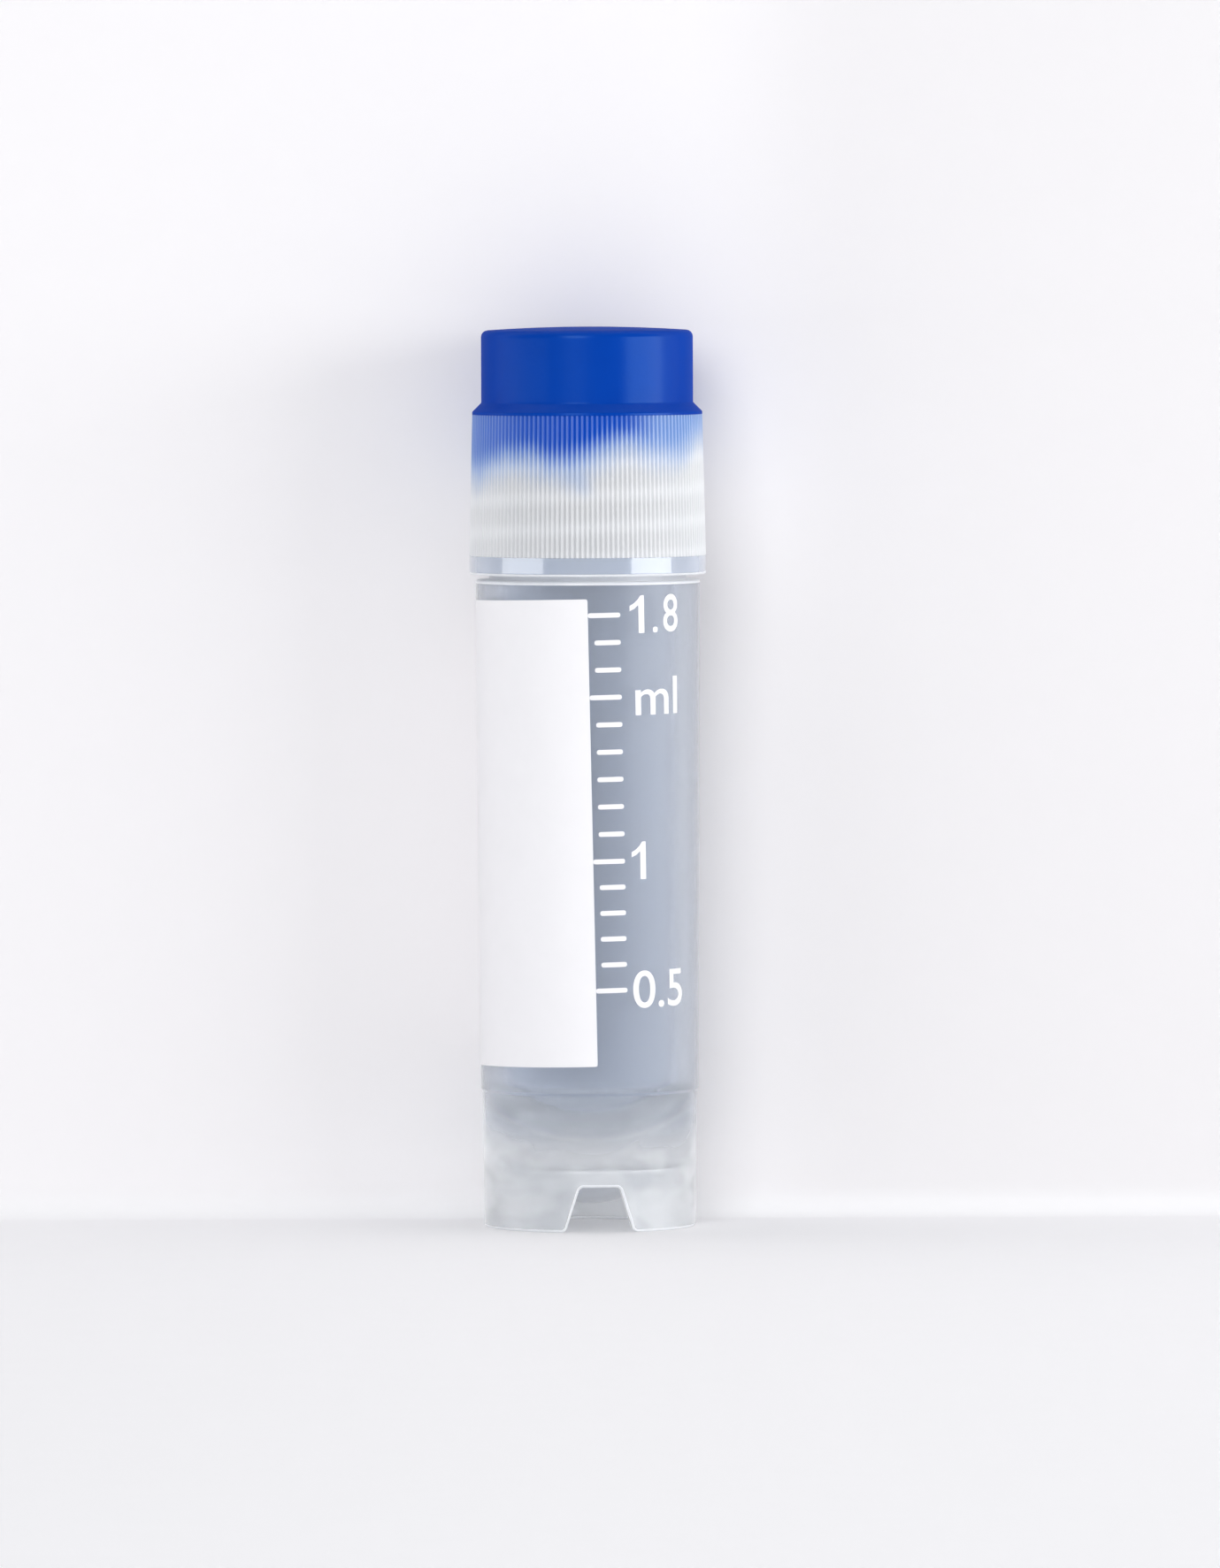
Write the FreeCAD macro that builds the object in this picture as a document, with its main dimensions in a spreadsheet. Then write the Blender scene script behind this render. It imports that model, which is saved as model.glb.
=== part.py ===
import FreeCAD, Part
import os
import Sketcher
from FreeCAD import Placement, Rotation, Vector

# A 1.8 ml screw-cap cryovial, in millimetres, standing on its foot with +Z up.
# The origin is the middle of the foot's rim, and the front is towards -Y.

# Every size that can be set by itself: its name, its value and what it is.
SIZES = (
    ("body_length", "34.55", "base to the shoulder that the neck stands on"),
    ("neck_length", "6.75", "shoulder to the neck's rim"),
    ("bore_diameter", "9.24", "inside of the tube at its mouth"),
    ("bore_draft", "0.04", "how much the bore's radius narrows down to the bowl"),
    ("body_wall", "1.36", "wall of the body at the shoulder"),
    ("neck_wall", "0.62", "wall of the neck between its threads"),
    ("body_draft", "0.17", "how much the body's radius narrows down to the foot"),
    ("rim_round", "0.12", "rounding of the neck's rim"),
    ("shoulder_round", "0.15", "rounding of the body's upper edge"),
    ("foot_height", "7.25", "base to the step where the foot begins"),
    ("foot_step", "0.1", "how far the foot lies inside the body's surface"),
    ("foot_step_rise", "0.15", "height of that step's slope"),
    ("foot_draft", "0.08", "how much the foot's radius narrows down to the base"),
    ("foot_wall", "1", "wall of the foot at the base"),
    ("recess_draft", "0.05", "how much the recess under the bottom narrows upwards"),
    ("dome_standoff", "1.2", "base to the lowest point of the round bottom"),
    ("dome_ease", "1.4", "round bottom's radius less the recess's radius"),
    ("bottom_thickness", "3.4", "plastic under the middle of the bowl"),
    ("bowl_ease", "0.3", "bowl's radius less the bore's radius"),
    ("notch_count", "3", "notches round the foot"),
    ("notch_bearing", "5.5", "first notch, in degrees from the front towards +X"),
    ("notch_height", "2.4", "height of a notch"),
    ("notch_top_width", "2.1", "width of a notch at its top"),
    ("notch_base_width", "3.6", "width of a notch at the base"),
    ("notch_top_corner", "0.25", "radius of a notch's upper corners"),
    ("notch_base_corner", "0.35", "radius where a notch meets the base"),
    ("foot_round", "0.12", "rounding of the foot's and the notches' edges"),
    ("thread_pitch", "1.7", "rise of the right-hand thread in one turn"),
    ("thread_depth", "0.3", "height of both threads' ridges"),
    ("thread_flank", "30", "slope of the ridges' sides in degrees"),
    ("thread_gap", "0.1", "radial gap between a ridge and the wall it faces"),
    ("flank_gap", "0.12", "gap along the axis between the two ridges' sides"),
    ("thread_sink", "0.06", "how deep a ridge's root lies in its own wall"),
    ("neck_thread_start", "1.4", "shoulder to the middle of the neck thread's start"),
    ("neck_thread_stop", "1.1", "neck's rim to the middle of the neck thread's end"),
    ("cap_thread_stop", "1.525", "neck's rim to the middle of the cap thread's end"),
    ("skirt_gap", "0.27", "gap between the skirt's lower rim and the shoulder"),
    ("skirt_wall", "0.67", "wall of the skirt at its smooth band"),
    ("skirt_draft", "0.18", "how much the skirt's radius narrows up to its top"),
    ("skirt_lead", "0.15", "chamfer inside the skirt's lower rim"),
    ("band_height", "0.99", "height of the smooth band at the skirt's lower rim"),
    ("band_round", "0.25", "rounding of the band's lower edge"),
    ("rib_count", "144", "ribs round the skirt"),
    ("rib_depth", "0.09", "depth of the grooves between the ribs"),
    ("rib_groove_width", "0.16", "width of a groove at the ribs' crests"),
    ("seal_thickness", "0.8", "height of the washer"),
    ("seal_inset", "0.07", "how far the washer's edge lies inside the neck's"),
    ("seal_gap", "0.04", "gap between the washer and the plug"),
    ("seal_round", "0.12", "rounding of the washer's edges"),
    ("plug_depth", "2.5", "how far the plug reaches below the inlay"),
    ("plug_gap", "0.05", "gap between the plug and the bore"),
    ("plug_wall", "1.1", "wall of the hollow plug"),
    ("plug_lead", "0.25", "chamfer at the plug's tip"),
    ("core_draft", "0.1", "how much the hollow in the top narrows upwards"),
    ("inlay_depth", "1.23", "how deep the blue top sits inside the skirt"),
    ("flange_edge", "0.15", "upright edge of the blue shoulder"),
    ("flange_round", "0.1", "rounding at both ends of the blue slope"),
    ("slope_width", "0.485", "width and height of the slope on the blue shoulder"),
    ("head_height", "4.67", "skirt's top to the highest point of the blue top"),
    ("head_crown", "0.2", "rise of the blue top's crown"),
    ("head_corner", "0.35", "rounding of the blue top's upper edge"),
    ("roof_thickness", "1.2", "plastic over the hollow in the blue top"),
)

# Sizes that follow from those above, as formulas that the features share.
# Names without a direction are radii, and the rest are heights over the base.
BORE_TOP = "(Sizes.bore_diameter / 2)"
BORE_LOW = f"({BORE_TOP} - Sizes.bore_draft)"
NECK_ROOT = f"({BORE_TOP} + Sizes.neck_wall)"
NECK_CREST = f"({NECK_ROOT} + Sizes.thread_depth)"
NECK_RIM_HEIGHT = "(Sizes.body_length + Sizes.neck_length)"
BODY_TOP = f"({BORE_TOP} + Sizes.body_wall)"
BODY_LOW = f"({BODY_TOP} - Sizes.body_draft)"
FOOT_TOP = f"({BODY_LOW} - Sizes.foot_step)"
FOOT_BASE = f"({FOOT_TOP} - Sizes.foot_draft)"
RECESS_BASE = f"({FOOT_BASE} - Sizes.foot_wall)"
RECESS_TOP = f"({RECESS_BASE} - Sizes.recess_draft)"
DOME = f"({RECESS_TOP} + Sizes.dome_ease)"
DOME_EDGE_HEIGHT = (
    f"(Sizes.dome_standoff + {DOME} - sqrt({DOME} ^ 2 - {RECESS_TOP} ^ 2))"
)
BOWL = f"({BORE_LOW} + Sizes.bowl_ease)"
BOWL_LOW_HEIGHT = "(Sizes.dome_standoff + Sizes.bottom_thickness)"
BOWL_EDGE_HEIGHT = f"({BOWL_LOW_HEIGHT} + {BOWL} - sqrt({BOWL} ^ 2 - {BORE_LOW} ^ 2))"
CAP_ROOT = f"({NECK_CREST} + Sizes.thread_gap)"
CAP_CREST = f"({NECK_ROOT} + Sizes.thread_gap)"
SKIRT_LOW_HEIGHT = "(Sizes.body_length + Sizes.skirt_gap)"
BAND = f"({CAP_ROOT} + Sizes.skirt_wall)"
BAND_TOP_HEIGHT = f"({SKIRT_LOW_HEIGHT} + Sizes.band_height)"
INLAY_LOW_HEIGHT = f"({NECK_RIM_HEIGHT} + Sizes.seal_thickness)"
SKIRT_TOP_HEIGHT = f"({INLAY_LOW_HEIGHT} + Sizes.inlay_depth)"
SKIRT_TOP = f"({BAND} - Sizes.skirt_draft)"
FLANGE_TOP_HEIGHT = f"({SKIRT_TOP_HEIGHT} + Sizes.flange_edge)"
PLUG = f"({BORE_TOP} - Sizes.plug_gap)"
PLUG_LOW_HEIGHT = f"({INLAY_LOW_HEIGHT} - Sizes.plug_depth)"
CORE = f"({PLUG} - Sizes.plug_wall)"
HEAD = f"({SKIRT_TOP} - Sizes.slope_width)"
HEAD_LOW_HEIGHT = f"({FLANGE_TOP_HEIGHT} + Sizes.slope_width)"
HEAD_TOP_HEIGHT = f"({SKIRT_TOP_HEIGHT} + Sizes.head_height)"
HEAD_EDGE_HEIGHT = f"({HEAD_TOP_HEIGHT} - Sizes.head_crown)"
ROOF_HEIGHT = f"({HEAD_TOP_HEIGHT} - Sizes.roof_thickness)"
SEAL_INSIDE = f"({PLUG} + Sizes.seal_gap)"
SEAL_OUTSIDE = f"({NECK_ROOT} - Sizes.seal_inset)"
FLANK_SLOPE = "tan(Sizes.thread_flank * 1 deg)"
RIDGE_WIDTH = (
    f"(Sizes.thread_pitch / 2 - Sizes.flank_gap"
    f" + (Sizes.thread_depth + Sizes.thread_gap) * {FLANK_SLOPE})"
)
NECK_THREAD_HEIGHT = "(Sizes.body_length + Sizes.neck_thread_start)"
NECK_THREAD_TURNS = (
    f"(({NECK_RIM_HEIGHT} - Sizes.neck_thread_stop - {NECK_THREAD_HEIGHT})"
    " / Sizes.thread_pitch)"
)
CAP_THREAD_HEIGHT = f"({NECK_THREAD_HEIGHT} + Sizes.thread_pitch / 2)"
CAP_THREAD_TURNS = (
    f"(({NECK_RIM_HEIGHT} - Sizes.cap_thread_stop - {CAP_THREAD_HEIGHT})"
    " / Sizes.thread_pitch)"
)

ON_AXIS = "0"  # across, in a section
ON_BASE = "0"  # up, in a section
ON_MIDDLE = "0"  # in a groove's outline
CUT_MARGIN = "0.5"  # how far a cut runs past the plastic
SAME = 0.001  # places closer than this are one place


def size_sheet(doc):
    """The spreadsheet that holds every size under its alias."""
    sheet = doc.addObject("Spreadsheet::Sheet", "Sizes")
    for row, (alias, value, meaning) in enumerate(SIZES, start=1):
        sheet.set(f"A{row}", alias)
        sheet.set(f"B{row}", value)
        sheet.set(f"C{row}", meaning)
        sheet.setAlias(f"B{row}", alias)
    doc.recompute()
    return sheet


def worth(formula):
    """The number that a formula gives with the sizes as they are."""
    result = FreeCAD.ActiveDocument.Sizes.evalExpression(formula)
    return float(getattr(result, "Value", result))


def new_body(doc, name):
    body = doc.addObject("PartDesign::Body", name)
    body.Label = name
    body.Placement = Placement()
    return body


def origin_feature(body, role):
    return next(f for f in body.Origin.OriginFeatures if f.Role == role)


# Sketches


def new_sketch(body, name, role="XZ_Plane"):
    """A sketch on one of the body's own planes. On XZ its second axis is +Z."""
    sketch = body.newObject("Sketcher::SketchObject", name)
    sketch.AttachmentSupport = (origin_feature(body, role), [""])
    sketch.MapMode = "FlatFace"
    return sketch


def place_point(sketch, edge, end, across, up):
    """Fixes one end of an edge at two formulas, or on an axis where one is zero."""
    for kind, axis, formula in (("DistanceX", -2, across), ("DistanceY", -1, up)):
        if abs(worth(formula)) < SAME:
            sketch.addConstraint(Sketcher.Constraint("PointOnObject", edge, end, axis))
            continue
        dimension = Sketcher.Constraint(kind, -1, 1, edge, end, worth(formula))
        index = sketch.addConstraint(dimension)
        sketch.setExpression(f"Constraints[{index}]", formula)


def dome_arc(start, stop):
    """The arc between two points of a section whose centre lies on the axis."""
    rise = (start.x**2 + start.y**2 - stop.x**2 - stop.y**2) / 2
    centre = Vector(0, rise / (start.y - stop.y), 0)
    radius = (start - centre).Length
    half_way = ((start + stop) / 2 - centre).normalize() * radius
    return Part.Arc(start, centre + half_way, stop)


def end_at(sketch, edge, corner):
    """Which end of an edge lies on a corner: an arc may run either way round."""
    return 1 if (sketch.Geometry[edge].StartPoint - corner).Length < SAME else 2


def draw_outline(sketch, corners, domes=()):
    """Draws a closed outline through corners given as (across, up) formulas.

    The edge that leaves each corner numbered in domes is an arc about the axis.
    """
    points = [Vector(worth(across), worth(up), 0) for across, up in corners]
    for edge, start in enumerate(points):
        stop = points[(edge + 1) % len(points)]
        line = dome_arc(start, stop) if edge in domes else Part.LineSegment(start, stop)
        sketch.addGeometry(line)
    for edge, corner in enumerate(points):
        before = (edge - 1) % len(points)
        ends = (before, end_at(sketch, before, corner), edge, end_at(sketch, edge, corner))
        sketch.addConstraint(Sketcher.Constraint("Coincident", *ends))
        place_point(sketch, *ends[2:], *corners[edge])
    for edge in domes:
        sketch.addConstraint(Sketcher.Constraint("PointOnObject", edge, 3, -2))


# Features


def turned(body, name, kind, corners, domes=()):
    """A Revolution or Groove of an outline, all the way round +Z."""
    sketch = new_sketch(body, f"{name}_section")
    draw_outline(sketch, corners, domes)
    feature = body.newObject(f"PartDesign::{kind}", name)
    feature.Profile = sketch
    feature.ReferenceAxis = (sketch, ["V_Axis"])
    feature.Angle = 360
    FreeCAD.ActiveDocument.recompute()
    return feature


def check_cut(body, name, volume_before):
    if not body.Shape.Volume < volume_before:
        raise RuntimeError(f"{name} cuts nothing")


def hollowed(body, name, corners, domes=()):
    """A Groove that is checked to have taken something away."""
    volume_before = body.Shape.Volume
    turned(body, name, "Groove", corners, domes)
    check_cut(body, name, volume_before)


def round_z(body, name, feature, formula):
    """Repeats a feature round +Z as many times as a formula says."""
    pattern = body.newObject("PartDesign::PolarPattern", name)
    pattern.Originals = [feature]
    pattern.Axis = (origin_feature(body, "Z_Axis"), [""])
    pattern.Angle = 360
    pattern.setExpression("Occurrences", formula)
    body.Tip = pattern
    FreeCAD.ActiveDocument.recompute()
    return pattern


def dressed(body, name, kind, size_name, formula, wanted):
    """A Fillet or Chamfer on every edge of the body that a test wants."""
    base = body.Tip
    edges = [
        f"Edge{number}"
        for number, edge in enumerate(base.Shape.Edges, start=1)
        if not edge.Degenerated and wanted(edge)
    ]
    feature = body.newObject(f"PartDesign::{kind}", name)
    feature.Base = (base, edges)
    feature.setExpression(size_name, formula)
    FreeCAD.ActiveDocument.recompute()
    return feature


def rounded(body, name, formula, wanted):
    return dressed(body, name, "Fillet", "Radius", formula, wanted)


def bevelled(body, name, formula, wanted):
    return dressed(body, name, "Chamfer", "Size", formula, wanted)


def rings(*places):
    """A test for the edges that run round +Z at any of these (radius, height)."""
    wanted = [(worth(radius), Vector(0, 0, worth(height))) for radius, height in places]

    def is_ring(edge):
        return isinstance(edge.Curve, Part.Circle) and any(
            abs(edge.Curve.Radius - radius) < SAME
            and (edge.Curve.Center - centre).Length < SAME
            for radius, centre in wanted
        )

    return is_ring


def thread_ridge(body, name, root, crest, height, turns):
    """A right-hand ridge that winds up from a height, from a wall to its crest."""
    side = "1" if worth(crest) > worth(root) else "-1"
    sunk_root = f"{root} - {side} * Sizes.thread_sink"
    half_root = f"({RIDGE_WIDTH} / 2 + Sizes.thread_sink * {FLANK_SLOPE})"
    half_crest = f"({RIDGE_WIDTH} / 2 - Sizes.thread_depth * {FLANK_SLOPE})"
    sketch = new_sketch(body, f"{name}_section")
    draw_outline(
        sketch,
        (
            (sunk_root, f"{height} - {half_root}"),
            (crest, f"{height} - {half_crest}"),
            (crest, f"{height} + {half_crest}"),
            (sunk_root, f"{height} + {half_root}"),
        ),
    )
    ridge = body.newObject("PartDesign::AdditiveHelix", name)
    ridge.Profile = sketch
    ridge.ReferenceAxis = (sketch, ["V_Axis"])
    ridge.Mode = "pitch-turns-angle"
    ridge.LeftHanded = False
    ridge.setExpression("Pitch", "Sizes.thread_pitch")
    ridge.setExpression("Turns", turns)
    FreeCAD.ActiveDocument.recompute()
    return ridge


# The tube


def vial_tube(doc):
    """The tube: threaded neck, body, round bottom and notched foot in one moulding."""
    body = new_body(doc, "vial_tube")
    turned(
        body,
        "tube_outside",
        "Revolution",
        (
            (ON_AXIS, ON_BASE),
            (FOOT_BASE, ON_BASE),
            (FOOT_TOP, "Sizes.foot_height"),
            (BODY_LOW, "Sizes.foot_height + Sizes.foot_step_rise"),
            (BODY_TOP, "Sizes.body_length"),
            (NECK_ROOT, "Sizes.body_length"),
            (NECK_ROOT, NECK_RIM_HEIGHT),
            (ON_AXIS, NECK_RIM_HEIGHT),
        ),
    )
    below_base = f"-{CUT_MARGIN}"
    hollowed(
        body,
        "foot_recess",
        (
            (ON_AXIS, DOME_EDGE_HEIGHT),
            (RECESS_TOP, DOME_EDGE_HEIGHT),
            (RECESS_BASE, ON_BASE),
            (RECESS_BASE, below_base),
            (ON_AXIS, below_base),
        ),
    )
    foot_notches(body)
    turned(
        body,
        "round_bottom",
        "Revolution",
        (
            (ON_AXIS, "Sizes.dome_standoff"),
            (RECESS_TOP, DOME_EDGE_HEIGHT),
            (ON_AXIS, DOME_EDGE_HEIGHT),
        ),
        domes=(0,),
    )
    above_rim = f"{NECK_RIM_HEIGHT} + {CUT_MARGIN}"
    hollowed(
        body,
        "sample_cavity",
        (
            (ON_AXIS, BOWL_LOW_HEIGHT),
            (BORE_LOW, BOWL_EDGE_HEIGHT),
            (BORE_TOP, NECK_RIM_HEIGHT),
            (BORE_TOP, above_rim),
            (ON_AXIS, above_rim),
        ),
        domes=(0,),
    )
    rim_edges = rings((NECK_ROOT, NECK_RIM_HEIGHT), (BORE_TOP, NECK_RIM_HEIGHT))
    rounded(body, "rim_rounding", "Sizes.rim_round", rim_edges)
    shoulder_edge = rings((BODY_TOP, "Sizes.body_length"))
    rounded(body, "shoulder_rounding", "Sizes.shoulder_round", shoulder_edge)
    thread_ridge(
        body,
        "neck_thread",
        NECK_ROOT,
        NECK_CREST,
        NECK_THREAD_HEIGHT,
        NECK_THREAD_TURNS,
    )
    return body


def foot_notches(body):
    """The trapezoid notches in the foot's wall, for the pegs of a rack."""
    volume_before = body.Shape.Volume
    notch = body.newObject("PartDesign::Pocket", "notch")
    half_base = "(Sizes.notch_base_width / 2)"
    start = f"(sqrt({RECESS_TOP} ^ 2 - {half_base} ^ 2) - {CUT_MARGIN})"
    notch.Profile = notch_sketch(body, half_base, start)
    notch.Reversed = True
    notch.setExpression("Length", f"{FOOT_TOP} - {start} + {CUT_MARGIN}")
    round_z(body, "notches", notch, "Sizes.notch_count")
    check_cut(body, "notches", volume_before)
    for name, height, radius in (
        ("notch_top_corners", "Sizes.notch_height", "Sizes.notch_top_corner"),
        ("notch_base_corners", ON_BASE, "Sizes.notch_base_corner"),
    ):
        rounded(body, name, radius, crosses_wall(height))
    rounded(body, "foot_edges", "Sizes.foot_round", on_foot_outline())


def notch_sketch(body, half_base, start):
    """A notch's outline, upright and square to its bearing, that far from the axis."""
    half_top = "(Sizes.notch_top_width / 2)"
    side_slope = f"({half_base} - {half_top}) / Sizes.notch_height"
    half_lowest = f"({half_base} + {CUT_MARGIN} * {side_slope})"
    bearing = "Sizes.notch_bearing * 1 deg"
    sketch = new_sketch(body, "notch_section")
    sketch.AttachmentOffset = Placement(Vector(), Rotation(Vector(0, 1, 0), 1))
    sketch.setExpression("AttachmentOffset.Rotation.Angle", bearing)
    sketch.setExpression("AttachmentOffset.Base.x", f"{start} * sin({bearing})")
    sketch.setExpression("AttachmentOffset.Base.z", f"{start} * cos({bearing})")
    draw_outline(
        sketch,
        (
            (f"-{half_lowest}", f"-{CUT_MARGIN}"),
            (half_lowest, f"-{CUT_MARGIN}"),
            (half_top, "Sizes.notch_height"),
            (f"-{half_top}", "Sizes.notch_height"),
        ),
    )
    return sketch


def crosses_wall(height):
    """A test for the straight edges that cross the foot's wall at one height."""
    level = worth(height)

    def is_wanted(edge):
        ends_level = all(abs(v.Point.z - level) < SAME for v in edge.Vertexes)
        return ends_level and isinstance(edge.Curve, Part.Line)

    return is_wanted


def on_foot_outline():
    """A test for the notches' and the rim's outlines, outside and inside."""
    highest = worth("Sizes.notch_height") + SAME
    walls = (
        (worth(FOOT_BASE) - SAME, worth(FOOT_TOP)),
        (worth(RECESS_TOP), worth(RECESS_BASE) + SAME),
    )

    def is_wanted(edge):
        radii = [abs(complex(v.Point.x, v.Point.y)) for v in edge.Vertexes]
        on_one_wall = any(
            all(least <= radius <= most for radius in radii) for least, most in walls
        )
        return edge.BoundBox.ZMax < highest and on_one_wall

    return is_wanted


# The cap and its washer


def cap_skirt(doc):
    """The natural shell of the cap: thread inside, ribs and a smooth band outside."""
    body = new_body(doc, "cap_skirt")
    turned(
        body,
        "skirt_wall",
        "Revolution",
        (
            (CAP_ROOT, SKIRT_LOW_HEIGHT),
            (BAND, SKIRT_LOW_HEIGHT),
            (BAND, BAND_TOP_HEIGHT),
            (SKIRT_TOP, SKIRT_TOP_HEIGHT),
            (CAP_ROOT, SKIRT_TOP_HEIGHT),
        ),
    )
    band_edge = rings((BAND, SKIRT_LOW_HEIGHT))
    rounded(body, "band_rounding", "Sizes.band_round", band_edge)
    lead_edge = rings((CAP_ROOT, SKIRT_LOW_HEIGHT))
    bevelled(body, "lead_in", "Sizes.skirt_lead", lead_edge)
    skirt_ribs(body)
    thread_ridge(
        body,
        "cap_thread",
        CAP_ROOT,
        CAP_CREST,
        CAP_THREAD_HEIGHT,
        CAP_THREAD_TURNS,
    )
    return body


def skirt_ribs(body):
    """The fine ribs, left standing between grooves that follow the skirt's slope."""
    volume_before = body.Shape.Volume
    margin = "Sizes.rib_depth"
    reach = f"(1 + {margin} / Sizes.rib_depth)"
    half_width = f"(Sizes.rib_groove_width / 2 * {reach})"
    height = f"({SKIRT_TOP_HEIGHT} - {BAND_TOP_HEIGHT})"
    sketch = new_sketch(body, "rib_groove_section", "XY_Plane")
    sketch.AttachmentOffset = Placement(Vector(0, 0, 1), Rotation())
    sketch.setExpression("AttachmentOffset.Base.z", BAND_TOP_HEIGHT)
    draw_outline(
        sketch,
        (
            (f"{BAND} - Sizes.rib_depth", ON_MIDDLE),
            (f"{BAND} + {margin}", f"-{half_width}"),
            (f"{BAND} + {margin}", half_width),
        ),
    )
    groove = body.newObject("PartDesign::Pocket", "rib_groove")
    groove.Profile = sketch
    groove.UseCustomVector = True
    groove.Direction = Vector(0, 0, 1)
    groove.setExpression("Direction.x", f"-Sizes.skirt_draft / {height}")
    groove.AlongSketchNormal = True
    groove.setExpression("Length", f"{height} + {margin}")
    round_z(body, "ribs", groove, "Sizes.rib_count")
    check_cut(body, "ribs", volume_before)


def cap_top(doc):
    """The blue top: crowned head, sloped shoulder, inlay in the skirt, hollow plug."""
    body = new_body(doc, "cap_top")
    turned(
        body,
        "top_outside",
        "Revolution",
        (
            (ON_AXIS, PLUG_LOW_HEIGHT),
            (PLUG, PLUG_LOW_HEIGHT),
            (PLUG, INLAY_LOW_HEIGHT),
            (CAP_ROOT, INLAY_LOW_HEIGHT),
            (CAP_ROOT, SKIRT_TOP_HEIGHT),
            (SKIRT_TOP, SKIRT_TOP_HEIGHT),
            (SKIRT_TOP, FLANGE_TOP_HEIGHT),
            (HEAD, HEAD_LOW_HEIGHT),
            (HEAD, HEAD_EDGE_HEIGHT),
            (ON_AXIS, HEAD_TOP_HEIGHT),
        ),
        domes=(8,),
    )
    head_edge = rings((HEAD, HEAD_EDGE_HEIGHT))
    rounded(body, "head_rounding", "Sizes.head_corner", head_edge)
    slope_edges = rings((SKIRT_TOP, FLANGE_TOP_HEIGHT), (HEAD, HEAD_LOW_HEIGHT))
    rounded(body, "slope_rounding", "Sizes.flange_round", slope_edges)
    plug_edge = rings((PLUG, PLUG_LOW_HEIGHT))
    bevelled(body, "plug_lead_in", "Sizes.plug_lead", plug_edge)
    below_plug = f"{PLUG_LOW_HEIGHT} - {CUT_MARGIN}"
    hollowed(
        body,
        "top_hollow",
        (
            (ON_AXIS, below_plug),
            (CORE, below_plug),
            (CORE, PLUG_LOW_HEIGHT),
            (f"{CORE} - Sizes.core_draft", ROOF_HEIGHT),
            (ON_AXIS, ROOF_HEIGHT),
        ),
    )
    return body


def seal_ring(doc):
    """The flat silicone washer that the inlay presses on the neck's rim."""
    body = new_body(doc, "seal_ring")
    corners = (
        (SEAL_INSIDE, NECK_RIM_HEIGHT),
        (SEAL_OUTSIDE, NECK_RIM_HEIGHT),
        (SEAL_OUTSIDE, INLAY_LOW_HEIGHT),
        (SEAL_INSIDE, INLAY_LOW_HEIGHT),
    )
    turned(body, "washer", "Revolution", corners)
    rounded(body, "washer_rounding", "Sizes.seal_round", rings(*corners))
    return body


def main():
    doc = FreeCAD.newDocument("Cryovial")
    size_sheet(doc)
    nodes = [vial_tube(doc), seal_ring(doc), cap_skirt(doc), cap_top(doc)]
    doc.recompute()
    for item in doc.Objects:
        if "Invalid" in item.State or "Error" in item.State:
            raise RuntimeError(f"{item.Name} failed: {item.State}")
    for node in nodes:
        if node.Shape.isNull() or not node.Shape.isValid():
            raise RuntimeError(f"{node.Label} has no valid shape")
    os.makedirs("parts", exist_ok=True)
    for node in nodes:
        node.Shape.exportStep(f"parts/{node.Label}.step")
        print(f"{node.Label}: {node.Shape.Volume:.2f} mm3")


main()
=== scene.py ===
import math

import bmesh
import bpy
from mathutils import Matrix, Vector


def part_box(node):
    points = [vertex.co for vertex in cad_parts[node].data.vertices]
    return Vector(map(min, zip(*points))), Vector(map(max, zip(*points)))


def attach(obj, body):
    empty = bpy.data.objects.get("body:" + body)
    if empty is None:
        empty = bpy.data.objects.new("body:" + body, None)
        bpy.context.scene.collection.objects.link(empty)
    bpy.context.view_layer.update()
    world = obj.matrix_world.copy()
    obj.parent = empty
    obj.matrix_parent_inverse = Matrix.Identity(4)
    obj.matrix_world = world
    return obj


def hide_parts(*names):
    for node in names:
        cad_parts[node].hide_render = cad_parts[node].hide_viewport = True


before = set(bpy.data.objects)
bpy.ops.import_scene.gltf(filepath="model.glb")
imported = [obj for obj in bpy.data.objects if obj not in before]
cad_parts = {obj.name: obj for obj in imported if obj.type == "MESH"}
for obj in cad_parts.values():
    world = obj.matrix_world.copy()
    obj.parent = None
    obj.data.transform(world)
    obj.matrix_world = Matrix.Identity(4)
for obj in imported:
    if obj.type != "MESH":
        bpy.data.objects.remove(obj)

bl_info = {
    "name": "Cryovial",
    "version": (1, 0, 0),
    "blender": (4, 5, 0),
    "location": "3D View > Sidebar > Cryovial",
    "description": "Models a screw-cap cryovial on its CAD frame, with its print and a studio",
    "category": "Add Mesh",
}

MM = 0.001
WELD = 0.0005 * MM  # points closer than this are one point
NEAR = 0.01 * MM  # how close to a place an edge or point has to be to be picked
LEANT = 0.2 * MM  # the same for the foot strip's top, once its walls lean
COLUMNS = 192  # upright columns round a turned piece
RIB_COLUMNS = 6  # columns across one rib and its groove
ARC_STEP = math.radians(4)  # the most that one edge of an arc turns
HOLD = 0.04 * MM  # from a rounded corner to the point that keeps its wall straight
SMOOTH = math.radians(30)  # faces that meet at less than this shade as one
IOR = 1.49  # refraction of the vial's plastic

UPPER_STEPS = 9  # from the 1.8 mark down to the 1 mark
LOWER_STEPS = 5  # from there down to the 0.5 mark
LONG_MARKS = (0, 3, 9, 14)  # counted from the top
STROKE = 0.006  # what thickens the letters, for letters about 1 high
ONE = (  # outline of the numeral 1, in millimetres from its lower left corner
    *((0.5, 0), (0.84, 0), (0.84, 2.0), (0.63, 2.0), (0.47, 1.78)),
    *((0.24, 1.58), (0, 1.46), (0, 1.18), (0.27, 1.3), (0.5, 1.5)),
)

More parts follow.
